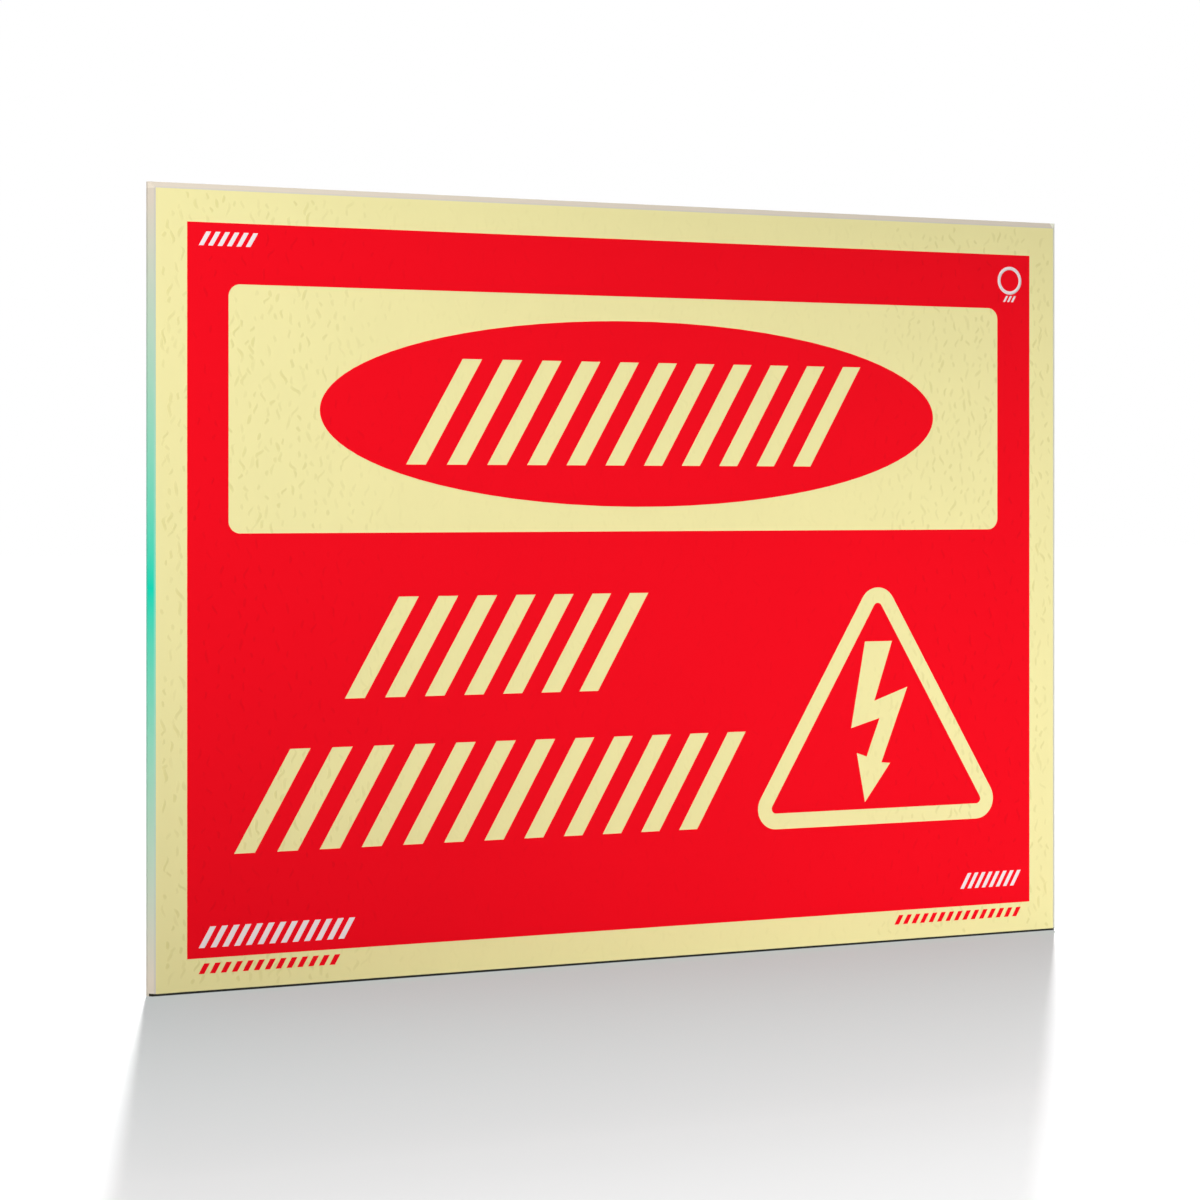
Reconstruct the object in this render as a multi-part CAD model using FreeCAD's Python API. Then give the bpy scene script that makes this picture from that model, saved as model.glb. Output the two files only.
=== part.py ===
import FreeCAD, Part
import math
import os

# High voltage warning sign: a rigid backing board with a luminous film laminated
# over its front, one bevel cut round both, and a print of red ink on the film.
# Sizes are in millimetres. X runs along the width, Z is up and the sign faces -Y.
# The origin is the centre of the back face, which lies against the wall.

# Laminate
board_width = 200.0
board_height = 150.0
board_thickness = 1.7
film_thickness = 0.3
# Both legs of the 45 degree bevel along the top and both ends of the front
edge_bevel = 1.2
# The same along the foot, where the front runs down nearly to the edge
foot_bevel = 0.5

# Print
ink_thickness = 0.06
# Bare film between the bevel and the red field
film_border = 6.0

# Header panel, a window in the red field
panel_side_border = 8.0
panel_top_border = 11.3
panel_height = 46.4
panel_corner_radius = 2.3

# Ellipse in the panel: bare film left beside its ends and above and below it
ellipse_end_gap = 17.0
ellipse_top_gap = 4.85
# Its centre lies this far to the right of the panel's centre
ellipse_shift = 1.1

# Slanted bars: one row in the ellipse and two in the field
bar_width = 4.1
bar_gap = 4.2
bar_lean_deg = 30.0
# Red left round the row in the ellipse
header_row_end_gap = 17.5
header_row_top_gap = 8.15
# Red left round the two rows in the field
lower_row_foot_gap = 19.0
row_spacing = 9.1
upper_row_top_gap = 12.2
lower_row_side_gap = 9.1
lower_row_triangle_gap = 2.8
# The upper row is shorter than the lower by this much at each end
upper_row_inset = 22.0

# Warning triangle, measured over its rounded corners
triangle_top_gap = 11.8
triangle_foot_gap = 18.1
triangle_side_gap = 9.1
triangle_side_angle_deg = 59.3
triangle_corner_radius = 4.2
triangle_stroke = 3.2

# Flash arrow in the triangle
# From the sharp inner top of the triangle down to the arrow's top edge
arrow_head_room = 8.85
# From the arrow's tip down to the triangle's lower stroke
arrow_foot_room = 1.35
# Corners of the arrow as shares of its height: across from the triangle's
# centre line and up from the tip, clockwise from the top left
arrow_corners = [
    (-0.093, 1.000),
    (0.104, 1.000),
    (-0.024, 0.630),
    (0.216, 0.712),
    (0.027, 0.245),
    (0.090, 0.239),
    (-0.093, 0.000),
    (-0.152, 0.310),
    (-0.081, 0.285),
    (0.012, 0.521),
    (-0.193, 0.464),
]

# Places worked out from the sizes
sign_thickness = board_thickness + film_thickness
field_right = board_width / 2 - edge_bevel - film_border
field_left = -field_right
field_top = board_height / 2 - edge_bevel - film_border
field_foot = -board_height / 2 + foot_bevel + film_border
panel_right = field_right - panel_side_border
panel_left = -panel_right
panel_top = field_top - panel_top_border
panel_foot = panel_top - panel_height


# Outlines, drawn on the front of the film

def on_film(x, z):
    """Return the point on the front of the film at x across and z up."""
    return FreeCAD.Vector(x, -sign_thickness, z)


def rectangle_corners(left, right, foot, top):
    return [(left, foot), (left, top), (right, top), (right, foot)]


def polygon_face(corners):
    """Return a flat face with sharp corners."""
    points = [on_film(x, z) for x, z in corners]
    return Part.Face(Part.makePolygon(points + points[:1]))


def corner_frames(corners):
    """Yield each corner, its directions to both neighbours and half its angle."""
    points = [on_film(x, z) for x, z in corners]
    for before, corner, after in zip(points[-1:] + points[:-1], points, points[1:] + points[:1]):
        to_before = (before - corner).normalize()
        to_after = (after - corner).normalize()
        yield corner, to_before, to_after, to_before.getAngle(to_after) / 2


def inset_corners(corners, distance):
    """Move every side of an outline inwards and return its new corners."""
    moved = []
    for corner, to_before, to_after, half_angle in corner_frames(corners):
        inward = (to_before + to_after).normalize()
        point = corner + inward * (distance / math.sin(half_angle))
        moved.append((point.x, point.z))
    return moved


def rounded_face(corners, radius):
    """Return a flat face whose corners are tangent arcs of one radius."""
    if radius <= 0:
        return polygon_face(corners)
    arcs = []
    for corner, to_before, to_after, half_angle in corner_frames(corners):
        tangent_length = radius / math.tan(half_angle)
        inward = (to_before + to_after).normalize()
        start = corner + to_before * tangent_length
        middle = corner + inward * (radius / math.sin(half_angle) - radius)
        end = corner + to_after * tangent_length
        arcs.append((start, middle, end))
    edges = []
    for this_arc, next_arc in zip(arcs, arcs[1:] + arcs[:1]):
        edges.append(Part.Arc(*this_arc).toShape())
        edges.append(Part.LineSegment(this_arc[2], next_arc[0]).toShape())
    return Part.Face(Part.Wire(edges))


def ellipse_face(centre_x, centre_z, width, height):
    """Return a flat ellipse whose long axis is level."""
    origin = FreeCAD.Vector(0, 0, 0)
    outline = Part.Ellipse(origin, width / 2, height / 2).toShape()
    outline.rotate(origin, FreeCAD.Vector(1, 0, 0), 90)
    outline.translate(on_film(centre_x, centre_z))
    return Part.Face(Part.Wire(outline))


def bar_row(left, right, foot, top):
    """Return slanted bars, evenly spaced from end to end of a row."""
    lean = (top - foot) * math.tan(math.radians(bar_lean_deg))
    room = right - left - lean
    count = max(2, round((room + bar_gap) / (bar_width + bar_gap)))
    step = (room - bar_width) / (count - 1)
    bars = []
    for number in range(count):
        start = left + number * step
        end = start + bar_width
        corners = [(start, foot), (start + lean, top), (end + lean, top), (end, foot)]
        bars.append(polygon_face(corners))
    return bars


# Laminate: the film goes on before the bevel is cut, so one cut shapes both

def front_edges(block):
    """Return the edges round the front face, the one at the foot first."""
    front = min(block.Faces, key=lambda face: face.CenterOfMass.y)
    return sorted(front.Edges, key=lambda edge: edge.CenterOfMass.z)


def laminate_blank():
    """Return the board and film as one block with its bevelled front edge."""
    corner = FreeCAD.Vector(-board_width / 2, -sign_thickness, -board_height / 2)
    block = Part.makeBox(board_width, sign_thickness, board_height, corner)
    block = block.makeChamfer(edge_bevel, front_edges(block)[1:])
    return block.makeChamfer(foot_bevel, front_edges(block)[:1])


def laminate_layer(blank, back_y, front_y):
    """Return the layer of the blank between two depths."""
    corner = FreeCAD.Vector(-board_width / 2, front_y, -board_height / 2)
    slice_box = Part.makeBox(board_width, back_y - front_y, board_height, corner)
    return blank.common(slice_box).Solids[0]


# Warning triangle with its flash arrow

def triangle_outlines():
    """Return the sharp outer and inner corners of the triangle's stroke."""
    side_angle = math.radians(triangle_side_angle_deg)
    # A rounded corner stops short of the sharp one, upwards and sideways
    top_shortfall = triangle_corner_radius * (1 / math.cos(side_angle) - 1)
    side_shortfall = triangle_corner_radius * (1 / math.tan(side_angle / 2) - 1)
    foot = field_foot + triangle_foot_gap
    top = panel_foot - triangle_top_gap + top_shortfall
    half_base = (top - foot) / math.tan(side_angle)
    middle = field_right - triangle_side_gap - half_base + side_shortfall
    outer = [(middle - half_base, foot), (middle, top), (middle + half_base, foot)]
    left_end = middle - half_base + side_shortfall
    return outer, inset_corners(outer, triangle_stroke), left_end


def flash_arrow(inner_corners):
    """Return the flash arrow that stands inside the triangle."""
    inner_foot = inner_corners[0][1]
    middle, inner_top = inner_corners[1]
    tip = inner_foot + arrow_foot_room
    height = inner_top - arrow_head_room - tip
    return polygon_face([(middle + across * height, tip + up * height) for across, up in arrow_corners])


# Red print: the ellipse, and the field with its windows

def header_ellipse():
    """Return the ellipse with its row of bars left open."""
    half_width = panel_right - ellipse_end_gap
    half_height = panel_height / 2 - ellipse_top_gap
    middle = (panel_top + panel_foot) / 2
    ellipse = ellipse_face(ellipse_shift, middle, 2 * half_width, 2 * half_height)
    half_length = half_width - header_row_end_gap
    half_row = half_height - header_row_top_gap
    return ellipse.cut(bar_row(
        ellipse_shift - half_length,
        ellipse_shift + half_length,
        middle - half_row,
        middle + half_row,
    ))


def field_rows(triangle_left_end):
    """Return the bars of the two rows beside the triangle."""
    left = field_left + lower_row_side_gap
    right = triangle_left_end - lower_row_triangle_gap
    lower_foot = field_foot + lower_row_foot_gap
    upper_top = panel_foot - upper_row_top_gap
    row_height = (upper_top - lower_foot - row_spacing) / 2
    lower = bar_row(left, right, lower_foot, lower_foot + row_height)
    upper = bar_row(left + upper_row_inset, right - upper_row_inset, upper_top - row_height, upper_top)
    return lower + upper


def red_print():
    """Return the printed areas as flat faces."""
    outer_corners, inner_corners, triangle_left_end = triangle_outlines()
    triangle = rounded_face(outer_corners, triangle_corner_radius)
    triangle_inside = rounded_face(inner_corners, triangle_corner_radius - triangle_stroke)
    panel = rounded_face(
        rectangle_corners(panel_left, panel_right, panel_foot, panel_top),
        panel_corner_radius,
    )
    field = polygon_face(rectangle_corners(field_left, field_right, field_foot, field_top))
    windows = [panel, triangle] + field_rows(triangle_left_end)
    return [
        field.cut(windows),
        header_ellipse(),
        triangle_inside.cut(flash_arrow(inner_corners)),
    ]


# Sub-parts, one to a node

def backing_board(blank):
    return laminate_layer(blank, 0.0, -board_thickness)


def luminous_film(blank):
    return laminate_layer(blank, -board_thickness, -sign_thickness)


def red_ink():
    """Return the print as thin solids that stand on the film."""
    raised = FreeCAD.Vector(0, -ink_thickness, 0)
    return Part.Compound([face.extrude(raised) for area in red_print() for face in area.Faces])


blank = laminate_blank()
nodes = {
    "backing_board": backing_board(blank),
    "luminous_film": luminous_film(blank),
    "red_ink": red_ink(),
}
os.makedirs("parts", exist_ok=True)
for name, shape in nodes.items():
    shape.exportStep(f"parts/{name}.step")
    print(name, len(shape.Solids), "solids", round(shape.Volume, 1), "mm3")
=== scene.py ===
# %% [markdown]
# # Dressing a high voltage warning sign
#
# The sign is a flat laminate for a wall or a cabinet door. A rigid plastic board
# carries a pale luminous film, and the warning is printed on the film in red.
# One bevel runs round the front edge, and it cuts through film and board alike.
#
# The construction comes in finished, as a fixed frame of three solids: board, film
# and ink. This lesson adds what the eye sees on them: the finish of each layer, the
# film's embossed grain, the small print, and a plain studio to look at it in.
# Lengths are in metres. The sign faces -Y, +X runs to the reader's right, +Z is up.

# %% Load the frame
import bmesh
import bpy
import math
from mathutils import Matrix, Vector


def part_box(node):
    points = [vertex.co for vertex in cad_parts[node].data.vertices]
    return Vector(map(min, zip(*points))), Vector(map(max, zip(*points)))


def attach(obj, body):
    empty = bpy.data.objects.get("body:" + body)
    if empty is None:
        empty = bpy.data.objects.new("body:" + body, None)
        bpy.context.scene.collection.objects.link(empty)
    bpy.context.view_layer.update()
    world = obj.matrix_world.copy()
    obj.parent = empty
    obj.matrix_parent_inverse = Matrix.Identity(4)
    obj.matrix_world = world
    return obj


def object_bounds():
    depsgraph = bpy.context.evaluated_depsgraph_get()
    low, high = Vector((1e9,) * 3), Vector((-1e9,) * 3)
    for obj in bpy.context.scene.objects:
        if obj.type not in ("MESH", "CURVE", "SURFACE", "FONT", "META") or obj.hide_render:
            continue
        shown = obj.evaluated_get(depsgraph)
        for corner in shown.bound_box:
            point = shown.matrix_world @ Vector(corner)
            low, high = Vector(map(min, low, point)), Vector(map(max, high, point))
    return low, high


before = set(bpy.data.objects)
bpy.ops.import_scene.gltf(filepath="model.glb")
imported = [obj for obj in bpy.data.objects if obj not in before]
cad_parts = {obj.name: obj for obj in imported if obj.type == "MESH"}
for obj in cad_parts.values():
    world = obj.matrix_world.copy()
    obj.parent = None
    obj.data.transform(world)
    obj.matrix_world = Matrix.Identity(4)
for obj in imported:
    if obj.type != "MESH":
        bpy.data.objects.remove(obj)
cad_low, cad_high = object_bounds()
MM = 0.001
print("nodes:", sorted(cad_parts))
print("box in mm:", [round(side / MM, 2) for side in cad_high - cad_low])

# %% [markdown]
# ## Measures from the frame
#
# Everything that follows sits on the layers, so its places are worked out from their
# boxes. The film's box is as wide as its back, and the bevel makes its front smaller, so
# the size of the flat front is read from the film's foremost corners. The bevel is
# narrow along the foot, so the front's top and foot are kept apart.

# %% Measure the layers
FACE_TOLERANCE = 0.01 * MM
film_corners = [vertex.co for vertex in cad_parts["luminous_film"].data.vertices]
film_front = min(corner.y for corner in film_corners)
front_corners = [corner for corner in film_corners if corner.y < film_front + FACE_TOLERANCE]
front_half_width = max(corner.x for corner in front_corners)
front_top = max(corner.z for corner in front_corners)
front_foot = min(corner.z for corner in front_corners)
ink_low, ink_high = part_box("red_ink")
ink_front = ink_low.y
ink_thickness = film_front - ink_front
front_height = front_top - front_foot
print("flat front in mm:", round(2 * front_half_width / MM, 2), "x", round(front_height / MM, 2))
print("ink thickness in mm:", round(ink_thickness / MM, 3))

# %% [markdown]
# ## Writing node graphs as sums
#
# Materials and geometry trees are both graphs of nodes. Placed one by one the nodes take
# pages, so two small classes make them readable. The first is a `Wire`: one output
# socket. A sum on a wire adds the Math node for that sum and returns its wire.

# %% A wire
class Wire:
    """One output socket. Python's sums on it add Math nodes to its graph."""

    def __init__(self, graph, socket):
        self.graph = graph
        self.socket = socket

    def sum_node(self, operation, *terms):
        return self.graph.node("ShaderNodeMath", {"operation": operation}, dict(enumerate(terms)))

    def __add__(self, other):
        return self.sum_node("ADD", self, other)

    def __radd__(self, other):
        return self.sum_node("ADD", other, self)

    def __sub__(self, other):
        return self.sum_node("SUBTRACT", self, other)

    def __rsub__(self, other):
        return self.sum_node("SUBTRACT", other, self)

    def __mul__(self, other):
        return self.sum_node("MULTIPLY", self, other)

    def __rmul__(self, other):
        return self.sum_node("MULTIPLY", other, self)

    def __pow__(self, power):
        return self.sum_node("POWER", self, power)

    def __abs__(self):
        return self.sum_node("ABSOLUTE", self)

    def __gt__(self, other):
        return self.sum_node("GREATER_THAN", self, other)

    def __lt__(self, other):
        return self.sum_node("LESS_THAN", self, other)


# %% [markdown]
# A `Graph` adds any other node: its kind, its settings, and then a value or a wire for
# each socket that matters. A node may keep sockets that its settings switch off, so
# sockets are looked up among those in use.

# %% A graph
class Graph:
    """A node tree, written as calls."""

    def __init__(self, tree):
        self.tree = tree
        tree.nodes.clear()

    @staticmethod
    def live_socket(sockets, key):
        """Find a socket in use by its name, or by its place among those in use."""
        live = [socket for socket in sockets if socket.enabled]
        if isinstance(key, int):
            return live[key]
        return next(socket for socket in live if socket.name == key)

    def node(self, kind, settings=None, sockets=None, output=0):
        """Add a node and return the wire of one output, or of each that is named."""
        node = self.tree.nodes.new(kind)
        for name, value in (settings or {}).items():
            setattr(node, name, value)
        for key, value in (sockets or {}).items():
            socket = self.live_socket(node.inputs, key)
            if isinstance(value, Wire):
                self.tree.links.new(value.socket, socket)
            else:
                socket.default_value = value
        if isinstance(output, tuple):
            return tuple(Wire(self, self.live_socket(node.outputs, key)) for key in output)
        return Wire(self, self.live_socket(node.outputs, output)) if node.outputs else None

    def steps_between(self, value, start, end):
        """Return a wire that rises smoothly from 0 to 1 as value goes from start to end."""
        return self.node(
            "ShaderNodeMapRange",
            {"interpolation_type": "SMOOTHSTEP"},
            {"Value": value, "From Min": start, "From Max": end},
        )


# %% [markdown]
# A `Finish` is a graph that makes a material. It knows the place on the object as three
# wires, across, depth and up, so a colour can follow the sign's own edges. It ends in
# one Principled shader, and every constant goes straight onto that shader's sockets.

# %% A finish
class Finish(Graph):
    """A material that mixes its colour and its surface from the place on the object."""

    def __init__(self, name):
        self.material = bpy.data.materials.new(name)
        self.material.use_nodes = True
        super().__init__(self.material.node_tree)
        self.place = self.node("ShaderNodeTexCoord", output="Object")
        self.across, self.depth, self.up = self.node(
            "ShaderNodeSeparateXYZ", {}, {0: self.place}, output=("X", "Y", "Z")
        )

    def noise(self, per_metre, detail=2.0, stretch=(1.0, 1.0, 1.0)):
        """Return noise with this many blotches to the metre, stretched if asked."""
        scaled = self.node("ShaderNodeMapping", {}, {"Vector": self.place, "Scale": stretch})
        return self.node(
            "ShaderNodeTexNoise", {}, {"Vector": scaled, "Scale": per_metre, "Detail": detail}
        )

    def mix(self, share, first, second):
        """Return a colour between two colours."""
        return self.node(
            "ShaderNodeMix", {"data_type": "RGBA"}, {"Factor": share, "A": first, "B": second},
            output="Result",
        )

    def bump(self, height, depth, strength):
        """Return a surface direction roughened by a pattern of this depth."""
        return self.node(
            "ShaderNodeBump", {}, {"Height": height, "Distance": depth, "Strength": strength}
        )

    def surface(self, **sockets):
        """Finish with one Principled shader whose sockets are given by name."""
        named = {key.replace("_", " "): value for key, value in sockets.items()}
        shader = self.node("ShaderNodeBsdfPrincipled", {}, named)
        self.node("ShaderNodeOutputMaterial", {}, {"Surface": shader})
        return self.material


def dress(node_name, material):
    """Give a solid of the frame its finish."""
    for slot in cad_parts[node_name].material_slots:
        slot.material = material
    print(node_name, "is finished in", material.name)


# %% [markdown]
# ## The board: off-white plastic with a tinted cut edge
#
# The board shows only at its cut edges and its back. It is a warm off-white. On the
# left edge the cut takes on a sea-green tint that is strongest half-way up and gone at
# the corners, as light caught in a luminous sheet leaves it, and painted light makes it
# a little paler towards the foot. Along the top painted light makes the cut a shade
# paler, and on the right it makes the bevel so pale that it melts into a white
# background. Along the foot the bevel is narrow and painted shade makes it so dark that
# it reads as a thin line under the face. All this is worked out from the place on the
# board alone, so it stays put in any view. A fine grain that is stretched through the
# thickness stands for the saw's marks.

# %% Where the cut edges change colour
# The tint ends just short of the corners, at this share of the half height
TINT_REACH = 0.96
# Painted light at the foot of the left edge, where 1 is its colour from half-way up
FOOT_PAINTED_LIGHT = 1.22


def edge_tint_share(finish):
    """Return 1 half-way up the left edge, falling to 0 near its corners."""
    tint_end = TINT_REACH * cad_high.z
    tint = finish.node(
        "ShaderNodeMapRange", {},
        {"Value": abs(finish.up), "From Max": tint_end, "To Min": 1.0, "To Max": 0.0},
    )
    return tint * (finish.across < -front_half_width)


def left_edge_painted_light(finish):
    """Return 1, growing down the lower half of the left edge to its painted light at the foot."""
    growth = finish.node(
        "ShaderNodeMapRange", {},
        {"Value": finish.up, "From Min": 0.0, "From Max": cad_low.z, "To Max": FOOT_PAINTED_LIGHT - 1},
    )
    return 1 + growth * (finish.across < -front_half_width)


def foot_painted_shade_share(finish):
    """Return 1 on the narrow bevel along the foot, where shade is painted, else 0."""
    return (finish.up < front_foot) * (finish.depth < film_front / 2)


def right_bevel_painted_light_share(finish):
    """Return 1 on the bevel along the right edge, where light is painted, else 0."""
    bevel = cad_high.x - front_half_width
    return (finish.across > front_half_width) * (finish.depth < film_front + bevel)


# %% Board finish
BOARD_WHITE = (0.72, 0.64, 0.53, 1.0)
BOARD_BLOTCH_SHADE = 0.94
# Painted light: the top of the board's cut is made this much paler
BOARD_TOP_PAINTED_LIGHT = 1.13
EDGE_TINT = (0.002, 0.67, 0.45, 1.0)
# Painted shade: the narrow bevel along the foot is made nearly black
FOOT_PAINTED_SHADE = (0.020, 0.018, 0.012, 1.0)
# Painted light on the bevel along the right edge, pale enough to melt into a white background
RIGHT_PAINTED_LIGHT = (0.95, 0.94, 0.78, 1.0)


def shade(colour, share):
    """Return a colour with its light multiplied by a share."""
    return tuple(part * share for part in colour[:3]) + (1.0,)


def cut_colour(finish, plain, paler, tint):
    """Return the colour of a cut edge: painted light at the top, tinted at the left.

    Painted light makes the right bevel pale and the lower left edge paler, and painted shade makes
    the foot dark, whatever the layer.
    """
    # Painted light along the top of the cut
    top_painted_light = finish.mix(finish.up > front_top, plain, paler)
    # Painted light on the bevel along the right edge
    untinted = finish.mix(right_bevel_painted_light_share(finish), top_painted_light, RIGHT_PAINTED_LIGHT)
    tinted = finish.mix(edge_tint_share(finish), untinted, tint)
    # Painted light down the lower half of the left edge
    lit = finish.node(
        "ShaderNodeVectorMath", {"operation": "SCALE"},
        {0: tinted, "Scale": left_edge_painted_light(finish)},
    )
    # Painted shade on the bevel along the foot
    return finish.mix(foot_painted_shade_share(finish), lit, FOOT_PAINTED_SHADE)


def board_finish():
    finish = Finish("sawn_board")
    blotches = finish.noise(per_metre=60, detail=4)
    saw_marks = finish.noise(per_metre=2600, stretch=(1.0, 0.06, 1.0))
    plain = finish.mix(blotches, shade(BOARD_WHITE, BOARD_BLOTCH_SHADE), BOARD_WHITE)
    return finish.surface(
        Base_Color=cut_colour(finish, plain, shade(BOARD_WHITE, BOARD_TOP_PAINTED_LIGHT), EDGE_TINT),
        Roughness=0.42 + 0.12 * saw_marks,
        Specular_IOR_Level=0.12,
        Normal=finish.bump(saw_marks, depth=0.02 * MM, strength=0.5),
    )


dress("backing_board", board_finish())

# %% [markdown]
# ## The film: a pale luminous sheet
#
# The film's pigment is a pale yellow-green. Seen close, its surface is never quite
# even, so broad blotches and small upright streaks move the colour by a few hundredths.
# Where the bevel cuts the film, its thin edge is greyer than its face and picks up some
# of the board's tint.

# %% Film finish
FILM_YELLOW = (0.925, 0.855, 0.412, 1.0)
FILM_CUT = (0.62, 0.57, 0.50, 1.0)
# Painted light: the top of the film's cut is made this much paler
FILM_TOP_PAINTED_LIGHT = 1.2
FILM_CUT_TINT = (0.16, 0.70, 0.52, 1.0)
FILM_SPECULAR = 0.22


def film_face_colour(finish, colour):
    """Return the colour of the film's front, slightly blotched and streaked."""
    blotches = finish.noise(per_metre=45, detail=5)
    streaks = finish.noise(per_metre=260, stretch=(1.0, 1.0, 0.4))
    unevenness = 0.6 * blotches + 0.4 * streaks
    return finish.mix(unevenness, shade(colour, 0.96), shade(colour, 1.03))


def coat(finish, colour, specular):
    """Finish a surface of film or ink, which share one very fine grain."""
    fine_grain = finish.noise(per_metre=2200, detail=3)
    return finish.surface(
        Base_Color=colour,
        Roughness=0.40 + 0.15 * fine_grain,
        Specular_IOR_Level=specular,
        Normal=finish.bump(fine_grain, depth=0.012 * MM, strength=0.6),
    )


def film_finish():
    finish = Finish("pale_film")
    cut = cut_colour(finish, FILM_CUT, shade(FILM_CUT, FILM_TOP_PAINTED_LIGHT), FILM_CUT_TINT)
    in_bevel = finish.depth > film_front + FACE_TOLERANCE
    colour = finish.mix(in_bevel, film_face_colour(finish, FILM_YELLOW), cut)
    return coat(finish, colour, FILM_SPECULAR)


dress("luminous_film", film_finish())

# %% [markdown]
# ## The ink: a clear bright red
#
# The ink covers fully and is very even, with a low sheen. Its red is so pure that any
# grey reflection would wash it out, so its gloss is kept faint. The film's fine grain
# shows through it, because the ink is only a few hundredths thick. The white is a thin
# coat over the red, so it is faintly pink.

# %% Ink finishes
RED = (0.955, 0.0015, 0.0115, 1.0)
WHITE = (0.95, 0.84, 0.85, 1.0)
INK_SPECULAR = 0.08


def ink_colour(finish, colour):
    """Return the colour of an ink, very slightly blotched."""
    blotches = finish.noise(per_metre=30, detail=4)
    return finish.mix(blotches, shade(colour, 0.965), shade(colour, 1.01))


def ink_finish(name, colour):
    finish = Finish(name)
    return coat(finish, ink_colour(finish, colour), INK_SPECULAR)


red_finish = ink_finish("red_print", RED)
white_finish = ink_finish("white_print", WHITE)
dress("red_ink", red_finish)

# %% [markdown]
# ## Geometry trees that leave a plain mesh
#
# The embossed marks and the small print both repeat one small shape many times, which
# is work for Geometry Nodes. A tree is built once with named inputs, run on a carrier
# mesh by a modifier, and its result is kept as a plain mesh. The modifier goes, so
# each finished piece is ordinary geometry that sits at the origin.

# %% A geometry tree with named inputs
SOCKET_KINDS = {
    "geometry": "NodeSocketGeometry",
    "length": "NodeSocketFloat",
    "share": "NodeSocketFloat",
    "whole": "NodeSocketInt",
    "object": "NodeSocketObject",
    "finish": "NodeSocketMaterial",
    "place": "NodeSocketVector",
}


class ShapeGraph(Graph):
    """A geometry tree that starts from a carrier mesh and some named inputs."""

    def __init__(self, name, inputs):
        super().__init__(bpy.data.node_groups.new(name, "GeometryNodeTree"))
        face = self.tree.interface
        face.new_socket("Carrier", in_out="INPUT", socket_type=SOCKET_KINDS["geometry"])
        for socket_name, kind in inputs.items():
            face.new_socket(socket_name, in_out="INPUT", socket_type=SOCKET_KINDS[kind])
        face.new_socket("Shape", in_out="OUTPUT", socket_type=SOCKET_KINDS["geometry"])
        self.entrance = self.tree.nodes.new("NodeGroupInput")

    def given(self, name):
        """Return the wire of a named input."""
        return Wire(self, self.entrance.outputs[name])

    def random(self, low, high, salt):
        """Return a random number for each point, from the tree's own seed."""
        return self.node(
            "FunctionNodeRandomValue", {"data_type": "FLOAT"},
            {"Min": low, "Max": high, "Seed": self.given("Seed") + salt}, output="Value",
        )

    def vector(self, x=0.0, y=0.0, z=0.0):
        return self.node("ShaderNodeCombineXYZ", {}, {"X": x, "Y": y, "Z": z})

    def made_real(self, instances):
        return self.node("GeometryNodeRealizeInstances", {}, {0: instances})

    def close(self, geometry):
        """Give the geometry its finish and end the tree with it."""
        coated = self.node(
            "GeometryNodeSetMaterial", {}, {"Geometry": geometry, "Material": self.given("Finish")}
        )
        self.node("NodeGroupOutput", {}, {"Shape": coated})
        return self.tree


# %% [markdown]
# Running a tree takes three things: an object that carries it, a modifier with a value
# for each input, and a copy of the mesh that comes out. The carrier is removed again.

# %% Run a tree and keep its result
def object_in_scene(name, data):
    obj = bpy.data.objects.new(name, data)
    bpy.context.scene.collection.objects.link(obj)
    return obj


def run_tree(name, tree, carrier_mesh, values):
    """Run a tree on a carrier mesh and return the result as a new plain object."""
    carrier = object_in_scene(name + "_carrier", carrier_mesh)
    modifier = carrier.modifiers.new(name, "NODES")
    modifier.node_group = tree
    for item in tree.interface.items_tree:
        if item.in_out == "INPUT" and item.name in values:
            modifier[item.identifier] = values[item.name]
    depsgraph = bpy.context.evaluated_depsgraph_get()
    mesh = bpy.data.meshes.new_from_object(carrier.evaluated_get(depsgraph), depsgraph=depsgraph)
    mesh.name = name
    bpy.data.objects.remove(carrier)
    triangles = sum(len(face.vertices) - 2 for face in mesh.polygons)
    print(name, "has", triangles, "triangles")
    return object_in_scene(name, mesh)


def keep(piece):
    """Fix a finished piece to the sign."""
    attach(piece, "root")


# %% [markdown]
# ## The embossed grain
#
# The film is embossed with short worm-like ridges, most of them nearly upright, one to
# three millimetres long. They show best towards the two ends of the sign and fade in
# the middle. Each ridge is a low ellipsoid, half sunk into its layer and then bent
# sideways, some into a bow and some into an S. Real ridges were chosen over bump so
# that their outline and their shading hold from every side.
#
# The tree first spreads points over the front of a layer, no two nearer than a given
# spacing.

# %% Spread points over the front
POINTS_PER_SQUARE_METRE = 4.0e5
# A face looks forwards when its normal reaches at least this far towards -Y
FORWARDS = -0.9


def front_points(graph):
    """Return points spread evenly over the faces that look forwards."""
    facing = graph.node(
        "ShaderNodeSeparateXYZ", {}, {0: graph.node("GeometryNodeInputNormal")}, output="Y"
    )
    front = graph.node(
        "GeometryNodeSeparateGeometry", {"domain": "FACE"},
        {"Geometry": graph.given("Carrier"), "Selection": facing < FORWARDS},
        output="Selection",
    )
    return graph.node(
        "GeometryNodeDistributePointsOnFaces", {"distribute_method": "POISSON"},
        {
            "Mesh": front,
            "Distance Min": graph.given("Spacing"),
            "Density Max": POINTS_PER_SQUARE_METRE,
            "Seed": graph.given("Seed"),
        },
        output="Points",
    )


# %% [markdown]
# Then it rolls the measures of a ridge for each point. The same roll comes out wherever
# the tree asks for it, because it hangs on the seed, the point and the roll's own
# number, which is the last one in each call. Short ridges are commoner than long ones,
# and the lean is the sum of two rolls, so a middling lean is commoner than a strong one.

# %% Roll the measures of the ridges
SHORTEST_RIDGE = 1.2 * MM
LENGTH_SPREAD = 2.1 * MM
# A power above 1 makes short ridges the common ones
LENGTH_POWER = 1.5
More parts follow.
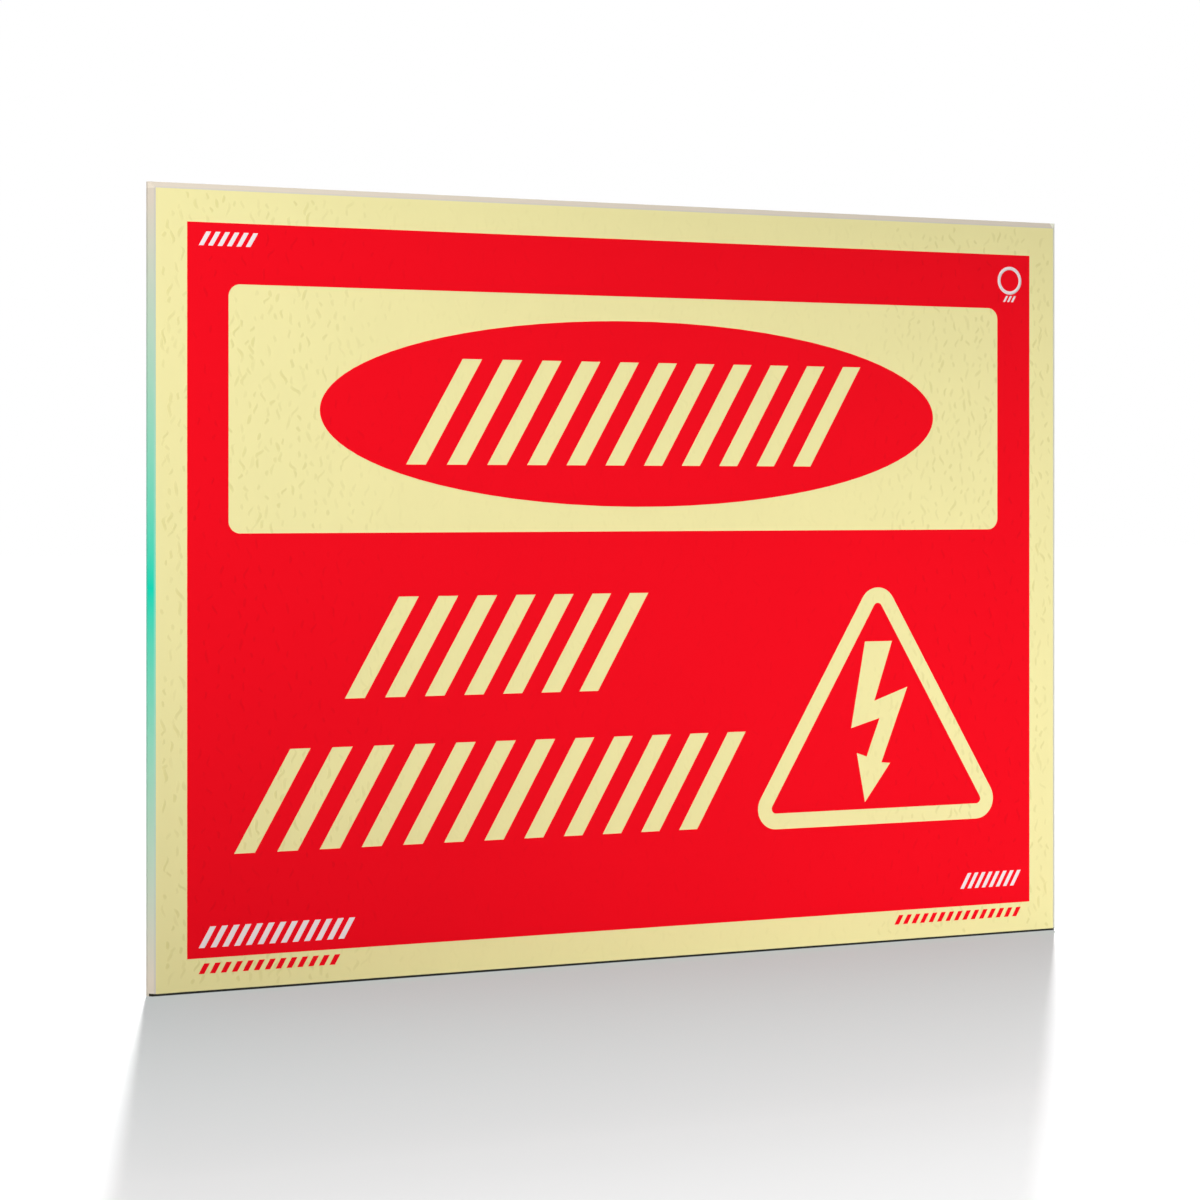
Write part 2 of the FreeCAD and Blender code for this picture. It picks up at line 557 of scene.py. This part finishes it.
# Leans in radians, either way
LEAN = 0.4
EXTRA_LEAN = 0.25
# Bow and twist as shares of the length, either way
BOW = 0.2
TWIST = 0.4


def rolled_ridge(graph):
    """Return the random measures of the ridge at each point."""
    length = SHORTEST_RIDGE + LENGTH_SPREAD * graph.random(0.0, 1.0, 3) ** LENGTH_POWER
    return {
        "lean": graph.random(-LEAN, LEAN, 1) + graph.random(-EXTRA_LEAN, EXTRA_LEAN, 2),
        "length": length,
        "bow": graph.random(-BOW, BOW, 4) * length,
        "width": graph.given("Ridge Width") * graph.random(0.75, 1.2, 5),
        "twist": graph.random(-TWIST, TWIST, 6) * length,
        "height": graph.given("Ridge Height") * graph.random(0.45, 1.0, 7),
    }


# %% [markdown]
# A ridge that would reach past the layer's edge, or touch something that it has to keep
# clear of, is dropped before it is made. It reaches up and down by about half its
# length. Sideways it reaches as far as its lean takes its tips, and then by its bow, its
# twist and half its width.

# %% Drop the ridges that don't fit
# A twist of 1 moves no part of a ridge by more than this
TWIST_REACH = 0.4


def sine(graph, angle):
    return graph.node("ShaderNodeMath", {"operation": "SINE"}, {0: angle})


def misfit(graph, ridge):
    """Return more than 0 where a ridge would pass a limit or come too near."""
    place = graph.node("GeometryNodeInputPosition")
    x, z = graph.node("ShaderNodeSeparateXYZ", {}, {0: place}, output=("X", "Z"))
    half_length = ridge["length"] * 0.5
    tip_reach = half_length * abs(sine(graph, ridge["lean"]))
    bend_reach = abs(ridge["bow"]) + abs(ridge["twist"]) * TWIST_REACH
    side_reach = tip_reach + bend_reach + ridge["width"] * 0.5
    past_side = abs(x) + side_reach > graph.given("Side Limit")
    past_top = z + half_length > graph.given("Top Limit")
    past_foot = z - half_length < graph.given("Foot Limit")
    neighbour = graph.node(
        "GeometryNodeObjectInfo", {}, {"Object": graph.given("Keep Clear Of")}, output="Geometry"
    )
    distance = graph.node(
        "GeometryNodeProximity", {"target_element": "FACES"}, {0: neighbour}, output="Distance"
    )
    too_near = distance < graph.given("Clearance") + graph.given("Reach Share") * ridge["length"]
    return past_side + past_top + past_foot + too_near


# %% [markdown]
# One ridge is a coarse ball, stretched to the ridge's width, height and length as it is
# set on its point. The bend comes last, on the real mesh: each corner knows how far it
# lies along its ridge, and moves sideways by the bow and the twist.

# %% Shape a ridge
# The grain is weakest up to the first distance from the sign's middle and full from the
# second one on
MIDDLE_END = 42 * MM
FULL_GRAIN_START = 76 * MM


def attribute(graph, name):
    """Return what the points or corners remember under a name."""
    return graph.node("GeometryNodeInputNamedAttribute", {"data_type": "FLOAT"}, {"Name": name})


def stored(graph, geometry, name, value):
    """Return a geometry whose points remember a value under a name."""
    return graph.node(
        "GeometryNodeStoreNamedAttribute", {"data_type": "FLOAT", "domain": "POINT"},
        {"Geometry": geometry, "Name": name, "Value": value},
    )


def ridge_ball(graph):
    """Return a coarse ball whose corners know how far up it they lie."""
    ball = graph.node(
        "GeometryNodeMeshUVSphere", {}, {"Segments": 6, "Rings": 7, "Radius": 1.0}, output="Mesh"
    )
    place = graph.node("GeometryNodeInputPosition")
    up = graph.node("ShaderNodeSeparateXYZ", {}, {0: place}, output="Z")
    return stored(graph, ball, "along", up)


def end_share(graph):
    """Return the share of its height that a ridge keeps, less in the sign's middle."""
    place = graph.node("GeometryNodeInputPosition")
    x = graph.node("ShaderNodeSeparateXYZ", {}, {0: place}, output="X")
    ends = graph.steps_between(abs(x), MIDDLE_END, FULL_GRAIN_START)
    middle_height = graph.given("Middle Height")
    return middle_height + (1 - middle_height) * ends


def bend_offset(graph):
    """Return the sideways move that bends a ridge and leaves its two tips in place."""
    names = ("lean", "bow", "twist", "along")
    lean, bow, twist, along = (attribute(graph, name) for name in names)
    move = (bow + twist * along) * (1 - along ** 2)
    sideways = graph.node("ShaderNodeMath", {"operation": "COSINE"}, {0: lean})
    return graph.vector(move * sideways, 0.0, -1 * move * sine(graph, lean))


# %% [markdown]
# Now the tree itself: points, less those that don't fit, a ball on each, the bend, and
# a last step that forgets what the corners remembered.

# %% The grain tree
def grain_tree():
    graph = ShapeGraph("embossed_grain", {
        "Keep Clear Of": "object",
        "Clearance": "length",
        "Reach Share": "share",
        "Side Limit": "length",
        "Top Limit": "length",
        "Foot Limit": "length",
        "Spacing": "length",
        "Ridge Width": "length",
        "Ridge Height": "length",
        "Middle Height": "share",
        "Seed": "whole",
        "Finish": "finish",
    })
    ridge = rolled_ridge(graph)
    points = graph.node(
        "GeometryNodeDeleteGeometry", {"domain": "POINT"},
        {"Geometry": front_points(graph), "Selection": misfit(graph, ridge)},
    )
    for name in ("lean", "bow", "twist"):
        points = stored(graph, points, name, ridge[name])
    height = ridge["height"] * end_share(graph)
    ridges = graph.node(
        "GeometryNodeInstanceOnPoints", {},
        {
            "Points": points,
            "Instance": ridge_ball(graph),
            "Rotation": graph.vector(y=attribute(graph, "lean")),
            "Scale": graph.vector(ridge["width"] * 0.5, height, ridge["length"] * 0.5),
        },
    )
    bent = graph.node(
        "GeometryNodeSetPosition", {},
        {"Geometry": graph.made_real(ridges), "Offset": bend_offset(graph)},
    )
    for name in ("lean", "bow", "twist", "along"):
        bent = graph.node("GeometryNodeRemoveAttribute", {}, {"Geometry": bent, "Name": name})
    return graph.close(bent)


grain = grain_tree()
print("grain tree has", len(grain.nodes), "nodes")

# %% [markdown]
# The layer meshes come from the frame as loose triangles, so a welded copy of each is
# made to work on. The frame's own meshes stay as they are.

# %% Emboss a layer
WELD_DISTANCE = 0.001 * MM


def welded_copy(node_name, walls_only=False):
    """Return a welded copy of a layer's mesh, or of its side walls alone."""
    shape = bmesh.new()
    shape.from_mesh(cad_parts[node_name].data)
    bmesh.ops.remove_doubles(shape, verts=shape.verts, dist=WELD_DISTANCE)
    if walls_only:
        # A side wall looks sideways and all else looks along Y
        flat = [face for face in shape.faces if abs(face.normal.y) > 0.5]
        bmesh.ops.delete(shape, geom=flat, context="FACES")
    mesh = bpy.data.meshes.new(node_name + "_copy")
    shape.to_mesh(mesh)
    shape.free()
    return mesh


def embossed(name, tree, layer, neighbour_mesh, **values):
    """Emboss one layer, clear of the neighbour. The values fill the tree's inputs."""
    neighbour = object_in_scene(name + "_neighbour", neighbour_mesh)
    values["Keep Clear Of"] = neighbour
    piece = run_tree(name, tree, welded_copy(layer), {
        key.replace("_", " "): value for key, value in values.items()
    })
    bpy.data.objects.remove(neighbour)
    return piece


def crest_painted_shade_share(finish, layer_front, ridge_height):
    """Return the share of painted shade: 0 at a ridge's rim and 1 on the crest of a ridge of full
    height.
    """
    return finish.steps_between(finish.depth, layer_front, layer_front - ridge_height)


# %% [markdown]
# Ridges on the film may run under the ink, which is thicker than they are high, but
# none is centred there. They stay inside the flat front, a little way from the bevel.
# Where a ridge rises, its flanks turn from the light. Its crest also has painted shade,
# a darker, warmer colour of the film, so that the grain shows in flat light too.

# %% Emboss the film
EDGE_MARGIN = 0.1 * MM
FILM_RIDGE = 0.045 * MM
# Painted shade: the colour on the crest of a film ridge
FILM_CREST_PAINTED_SHADE = (0.812, 0.744, 0.322, 1.0)


def film_grain_finish():
    finish = Finish("film_ridges")
    # Painted shade on the crest
    crest = crest_painted_shade_share(finish, film_front, FILM_RIDGE)
    face = film_face_colour(finish, FILM_YELLOW)
    return coat(finish, finish.mix(crest, face, FILM_CREST_PAINTED_SHADE), FILM_SPECULAR)


film_grain = embossed(
    "film_grain", grain, "luminous_film", welded_copy("red_ink"),
    Clearance=0.2 * MM,
    Reach_Share=0.0,
    Side_Limit=front_half_width - EDGE_MARGIN,
    Top_Limit=front_top - EDGE_MARGIN,
    Foot_Limit=front_foot + EDGE_MARGIN,
    Spacing=1.32 * MM,
    Ridge_Width=0.84 * MM,
    Ridge_Height=FILM_RIDGE,
    Middle_Height=0.32,
    Seed=7,
    Finish=film_grain_finish(),
)
keep(film_grain)

# %% [markdown]
# Ridges on the ink are flatter and further apart, and painted shade makes them a little
# darker on the crest. They keep away from the ink's own side walls, a long ridge further
# than a short one, so that none runs over a printed edge.

# %% Emboss the ink
INK_RIDGE = 0.016 * MM
# Painted shade: the colour on the crest of an ink ridge
INK_CREST_PAINTED_SHADE = shade(RED, 0.91)


def ink_grain_finish():
    finish = Finish("ink_ridges")
    # Painted shade on the crest
    crest = crest_painted_shade_share(finish, ink_front, INK_RIDGE)
    return coat(finish, finish.mix(crest, ink_colour(finish, RED), INK_CREST_PAINTED_SHADE), INK_SPECULAR)


ink_grain = embossed(
    "ink_grain", grain, "red_ink", welded_copy("red_ink", walls_only=True),
    Clearance=0.2 * MM,
    Reach_Share=0.5,
    Side_Limit=ink_high.x,
    Top_Limit=ink_high.z,
    Foot_Limit=ink_low.z,
    Spacing=2.4 * MM,
    Ridge_Width=0.7 * MM,
    Ridge_Height=INK_RIDGE,
    Middle_Height=0.5,
    Seed=19,
    Finish=ink_grain_finish(),
)
keep(ink_grain)

# %% [markdown]
# ## Small print as plain bars
#
# Small rows of print stand in the corners of the red field and in the bottom border.
# They are far too small to read from a step away, so each is made as a row of short
# slanted bars, the big rows' pattern in little. One tree makes every row: a line of
# points, a thin plate on each, and a shear that gives the lean.

# %% Row tree
PRINT_PROUD = 0.02 * MM
BAR_LEAN_DEG = 30
BAR_LEAN = math.tan(math.radians(BAR_LEAN_DEG))


def row_tree():
    graph = ShapeGraph("bar_row", {
        "Count": "whole",
        "Start": "place",
        "Pitch": "length",
        "Bar Width": "length",
        "Bar Height": "length",
        "Bar Depth": "length",
        "Lean": "share",
        "Finish": "finish",
    })
    line = graph.node(
        "GeometryNodeMeshLine", {"mode": "OFFSET"},
        {
            "Count": graph.given("Count"),
            "Start Location": graph.given("Start"),
            "Offset": graph.vector(x=graph.given("Pitch")),
        },
    )
    sides = ("Bar Width", "Bar Depth", "Bar Height")
    size = graph.vector(*(graph.given(side) for side in sides))
    plate = graph.node("GeometryNodeMeshCube", {}, {"Size": size}, output="Mesh")
    z = graph.node(
        "ShaderNodeSeparateXYZ", {}, {0: graph.node("GeometryNodeInputPosition")}, output="Z"
    )
    leaning = graph.node(
        "GeometryNodeSetPosition", {},
        {"Geometry": plate, "Offset": graph.vector(x=z * graph.given("Lean"))},
    )
    bars = graph.node("GeometryNodeInstanceOnPoints", {}, {"Points": line, "Instance": leaning})
    return graph.close(graph.made_real(bars))


row = row_tree()
print("row tree has", len(row.nodes), "nodes")

# %% [markdown]
# A row is given by its left end, its length, its foot, its height and its number of
# bars. Bars and gaps are half a pitch wide each, and no gap follows the last bar. The
# plates are centred on their backing, so half of each is sunk and half stands proud.

# %% Print one row
def print_row(name, left, length, foot, height, count, backing, proud, material):
    """Print a row of bars that stands proud of its backing."""
    lean_reach = height * BAR_LEAN
    pitch = (length - lean_reach) / (count - 0.5)
    start = Vector((left + lean_reach / 2 + pitch / 4, backing, foot + height / 2))
    return run_tree(name, row, bpy.data.meshes.new(name), {
        "Count": count,
        "Start": start,
        "Pitch": pitch,
        "Bar Width": pitch / 2,
        "Bar Height": height,
        "Bar Depth": 2 * proud,
        "Lean": BAR_LEAN,
        "Finish": material,
    })


# %% [markdown]
# The rows are placed from the edges of the red field, which are the edges of the ink's
# box. White rows stand on the ink. Red rows stand on the film in the border below, and
# are as thick as the ink of the field, which covers the film's ridges too.

# %% Print the white rows
PRINT_EDGE = 2.2 * MM
print_left = ink_low.x + PRINT_EDGE
print_right = ink_high.x - PRINT_EDGE
white_rows = {
    "top_left_row": (print_left, 11.6 * MM, ink_high.z - 4.3 * MM, 2.6 * MM, 6),
    "bottom_left_row": (print_left, 31.0 * MM, ink_low.z + 1.9 * MM, 3.9 * MM, 13),
    "bottom_right_row": (print_right - 15.0 * MM, 15.0 * MM, ink_low.z + 3.6 * MM, 3.2 * MM, 8),
    "top_right_row": (print_right - 4.4 * MM, 3.2 * MM, ink_high.z - 9.9 * MM, 1.3 * MM, 3),
}
for name, row_place in white_rows.items():
    keep(print_row(name, *row_place, ink_front, PRINT_PROUD, white_finish))

# %% Print the red rows
BORDER_ROW_GAP = 1.0 * MM
BORDER_ROW_HEIGHT = 1.9 * MM
border_foot = ink_low.z - BORDER_ROW_GAP - BORDER_ROW_HEIGHT
red_rows = {
    "border_left_row": (print_left, 28.0 * MM, border_foot, BORDER_ROW_HEIGHT, 13),
    "border_right_row": (print_right - 31.0 * MM, 31.0 * MM, border_foot, BORDER_ROW_HEIGHT, 15),
}
for name, row_place in red_rows.items():
    keep(print_row(name, *row_place, film_front, ink_thickness, red_finish))

# %% [markdown]
# A small round mark stands in the top right corner, over its short row. It is a plain
# ring: a circle with a flat section swept round it, closed on itself.

# %% Print the ring
RING_RADIUS = 2.6 * MM
RING_STROKE = 0.7 * MM
# Its centre, from the right and the top of the red field
RING_FROM_SIDE = PRINT_EDGE + 2.8 * MM
RING_FROM_TOP = 5.4 * MM


def ring_tree():
    graph = ShapeGraph("ring", {
        "Radius": "length",
        "Stroke": "length",
        "Depth": "length",
        "Finish": "finish",
    })
    circle = graph.node(
        "GeometryNodeCurvePrimitiveCircle", {"mode": "RADIUS"},
        {"Resolution": 48, "Radius": graph.given("Radius")}, output="Curve",
    )
    section = graph.node(
        "GeometryNodeCurvePrimitiveQuadrilateral", {"mode": "RECTANGLE"},
        {"Width": graph.given("Stroke"), "Height": graph.given("Depth")},
    )
    band = graph.node("GeometryNodeCurveToMesh", {}, {"Curve": circle, "Profile Curve": section})
    return graph.close(graph.made_real(band))


ring = run_tree("top_right_ring", ring_tree(), bpy.data.meshes.new("top_right_ring"), {
    "Radius": RING_RADIUS,
    "Stroke": RING_STROKE,
    "Depth": 2 * PRINT_PROUD,
    "Finish": white_finish,
})
ring_centre = Vector((ink_high.x - RING_FROM_SIDE, ink_front, ink_high.z - RING_FROM_TOP))
stand_up = Matrix.Rotation(math.radians(90), 4, "X")
ring.data.transform(Matrix.Translation(ring_centre) @ stand_up)
keep(ring)
print("ring in mm:", [round(side / MM, 2) for side in ring.dimensions])

# %% [markdown]
# ## Floor
#
# The sign stands on a white floor and throws its shadow forwards, to the left. The
# floor has two faces. Bounced light meets a plain grey one, so that the floor adds
# little light to the object. The camera and reflections meet a pale one: a matt surface
# that takes the shadow, plus a glow that keeps the shadow light.
#
# The glow is weakest at the sign's foot and grows forwards, and further off it rises to
# a strength of 1, which is white, so that the floor runs into the background without a
# line. At the foot it is a little short of red, because the red face throws some of its
# own light there.

# %% The glow of the floor
GLOW_AT_FOOT = 0.41
GLOW_FORWARDS = 0.65
GLOW_REACH = 0.15
GLOW_COLOUR_AT_FOOT = (0.93, 1.0, 1.0, 1.0)
WHITE_LIGHT = (1.0, 1.0, 1.0, 1.0)
# The glow turns white between these distances from the middle of the sign
TURNS_WHITE_FROM = 0.3
WHITE_BY = 1.0


def floor_glow(finish):
    """Return a glow that grows forwards from the foot and is white far away."""
    distance = finish.node(
        "ShaderNodeVectorMath", {"operation": "LENGTH"}, {0: finish.place}, output="Value"
    )
    forwards = finish.node(
        "ShaderNodeMapRange", {}, {"Value": finish.depth, "From Max": -GLOW_REACH}
    )
    near_glow = GLOW_AT_FOOT + (GLOW_FORWARDS - GLOW_AT_FOOT) * forwards
    far_away = finish.steps_between(distance, TURNS_WHITE_FROM, WHITE_BY)
    strength = near_glow + (1 - near_glow) * far_away
    colour = finish.mix(forwards, GLOW_COLOUR_AT_FOOT, WHITE_LIGHT)
    return finish.node("ShaderNodeEmission", {}, {"Color": colour, "Strength": strength})


# %% [markdown]
# Behind the sign the lamps make the floor far brighter than white. There it would eat
# into the sign's outline, so the camera meets plain white instead.

# %% The floor
FLOOR_SIZE = 8.0
FLOOR_COLOUR = (0.40, 0.40, 0.40, 1.0)
SHADOWED_COLOUR = (0.20, 0.20, 0.20, 1.0)
# Just over white, so that no faint line shows where this part of the floor begins
CLEAR_WHITE = 1.08


def seen_directly(graph):
    """Return 1 for the camera, for reflections and through clear bodies, else 0."""
    rays = graph.node(
        "ShaderNodeLightPath",
        output=("Is Camera Ray", "Is Glossy Ray", "Is Transmission Ray"),
    )
    return rays[0] + rays[1] + rays[2]


def floor_finish():
    finish = Finish("floor")
    matt = finish.node("ShaderNodeBsdfDiffuse", {}, {"Color": FLOOR_COLOUR})
    pale = finish.node("ShaderNodeBsdfDiffuse", {}, {"Color": SHADOWED_COLOUR})
    lit = finish.node("ShaderNodeAddShader", {}, {0: pale, 1: floor_glow(finish)})
    shown = finish.node("ShaderNodeMixShader", {}, {0: seen_directly(finish), 1: matt, 2: lit})
    white = finish.node(
        "ShaderNodeEmission", {}, {"Color": WHITE_LIGHT, "Strength": CLEAR_WHITE}
    )
    camera_ray = finish.node("ShaderNodeLightPath", output="Is Camera Ray")
    behind = camera_ray * (finish.depth > 0.0)
    whole = finish.node("ShaderNodeMixShader", {}, {0: behind, 1: shown, 2: white})
    finish.node("ShaderNodeOutputMaterial", {}, {"Surface": whole})
    return finish.material


def floor_piece():
    shape = bmesh.new()
    bmesh.ops.create_grid(shape, x_segments=1, y_segments=1, size=FLOOR_SIZE / 2)
    mesh = bpy.data.meshes.new("floor")
    shape.to_mesh(mesh)
    shape.free()
    mesh.transform(Matrix.Translation((0.0, 0.0, cad_low.z)))
    mesh.materials.append(floor_finish())
    return object_in_scene("floor", mesh)


floor = floor_piece()
print("floor is", FLOOR_SIZE, "m wide, at a height in mm of", round(cad_low.z / MM, 2))

# %% [markdown]
# ## Lamps and world
#
# Two areas of light stand behind the sign and to its right, and light nothing but the
# floor. The low one is strong: whatever it reaches is white, so the shadow has firm
# sides and runs far forwards. The high one is weak and looks over the sign, so the
# shadow pales the further it is from the foot. Light linking keeps both off the object,
# and no bounces keep it off the rest of the light too.
#
# The object has its own light at a plain level. The world lights it evenly, a soft rim
# lamp reaches its back and its top, and two wide spots with soft edges leave a bright
# place towards the upper left of the face and one towards the lower right.

# %% Stand a lamp
def direction(azimuth_deg, elevation_deg):
    """Return the way to a lamp: azimuth 0 is in front of the sign, 90 to its right."""
    azimuth = math.radians(azimuth_deg)
    elevation = math.radians(elevation_deg)
    level = math.cos(elevation)
    return Vector((level * math.sin(azimuth), -level * math.cos(azimuth), math.sin(elevation)))


def lamp_object(name, kind, strength, target, way, distance):
    """Stand a lamp at a distance from its target and point it there."""
    data = bpy.data.lights.new(name, kind)
    data.energy = strength
    lamp = object_in_scene(name, data)
    lamp.location = Vector(target) + way * distance
    lamp.rotation_euler = way.to_track_quat("Z", "Y").to_euler()
    print(name, "has", strength, "W and stands", round(distance, 2), "m off")
    return lamp


# %% Lamps behind the sign
SIGN_FOOT = (0.0, 0.0, cad_low.z)
SIGN_MIDDLE = (0.0, 0.0, 0.0)
BACK_DISTANCE = 1.5
SHADOW_LAMP_DEG = 153.3
SHADOW_LAMP_WIDTH = 0.60
SHADOW_LAMP_HEIGHT = 0.52
# How far each stands over the floor, in degrees, and its power in watts
shadow_lamps = {
    "low_shadow_lamp": (15, 3500.0),
    "high_shadow_lamp": (37, 55.0),
}
floor_only = bpy.data.collections.new("floor_only")
floor_only.objects.link(floor)
for name, (elevation_deg, strength) in shadow_lamps.items():
    way = direction(SHADOW_LAMP_DEG, elevation_deg)
    lamp = lamp_object(name, "AREA", strength, SIGN_FOOT, way, BACK_DISTANCE)
    lamp.data.shape = "RECTANGLE"
    lamp.data.size = SHADOW_LAMP_WIDTH
    lamp.data.size_y = SHADOW_LAMP_HEIGHT
    lamp.data.cycles.max_bounces = 0
    lamp.light_linking.receiver_collection = floor_only

RIM_LIGHT = 20.0
RIM_LAMP_SIZE = 0.5
RIM_WAY = direction(154, 34)
rim_lamp = lamp_object("rim_lamp", "AREA", RIM_LIGHT, SIGN_MIDDLE, RIM_WAY, BACK_DISTANCE)
rim_lamp.data.size = RIM_LAMP_SIZE

# %% Lamps for the face
FACE_WAY = direction(-28, 14)
FACE_DISTANCE = 1.3
# With a blend of 1 a spot fades all the way from its middle to its rim
SPOT_BLEND = 1.0
SPOT_SIZE = 0.1
# Where each meets the face, across and up, how far its light reaches, and its watts
face_lamps = {
    "upper_left_lamp": (-0.170, 0.085, 0.221, 60.0),
    "lower_right_lamp": (0.164, -0.079, 0.238, 46.0),
}
for name, (x, z, reach, strength) in face_lamps.items():
    lamp = lamp_object(name, "SPOT", strength, (x, 0.0, z), FACE_WAY, FACE_DISTANCE)
    lamp.data.spot_size = 2 * math.atan(reach / FACE_DISTANCE)
    lamp.data.spot_blend = SPOT_BLEND
    lamp.data.shadow_soft_size = SPOT_SIZE

# %% World
WORLD_LIGHT = 0.42


def white_world():
    """Return a world that lights plainly and is white where it is seen."""
    world = bpy.data.worlds.new("studio")
    world.use_nodes = True
    graph = Graph(world.node_tree)
    light = graph.node(
        "ShaderNodeBackground", {}, {"Color": WHITE_LIGHT, "Strength": WORLD_LIGHT}
    )
    backdrop = graph.node("ShaderNodeBackground", {}, {"Color": WHITE_LIGHT, "Strength": 1.0})
    mixed = graph.node("ShaderNodeMixShader", {}, {0: seen_directly(graph), 1: light, 2: backdrop})
    graph.node("ShaderNodeOutputWorld", {}, {"Surface": mixed})
    return world


bpy.context.scene.world = white_world()
bpy.context.scene.view_settings.view_transform = "Standard"
print("the world lights the sign with a strength of", WORLD_LIGHT)

# %% [markdown]
# ## Camera
#
# The photograph looks at the sign from its left and keeps every upright upright, so
# the camera is level and the framing is done by a small shift. Its place, turn and
# focal length were fitted to the four corners of the face.

# %% Camera
CAMERA_PLACE = (-0.27190, -0.54471, 0.01694)
CAMERA_TURN_DEG = -25.932
SENSOR_WIDTH = 36.0
FOCAL_LENGTH = 91.988
SHIFT_UP = -0.08604


def camera_object():
    data = bpy.data.cameras.new("camera")
    data.sensor_width = SENSOR_WIDTH
    data.lens = FOCAL_LENGTH
    data.shift_y = SHIFT_UP
    camera = object_in_scene("camera", data)
    camera.location = CAMERA_PLACE
    camera.rotation_euler = (math.radians(90), 0.0, math.radians(CAMERA_TURN_DEG))
    return camera


bpy.context.scene.camera = camera_object()
print("camera looks", -CAMERA_TURN_DEG, "degrees to the right of straight ahead")
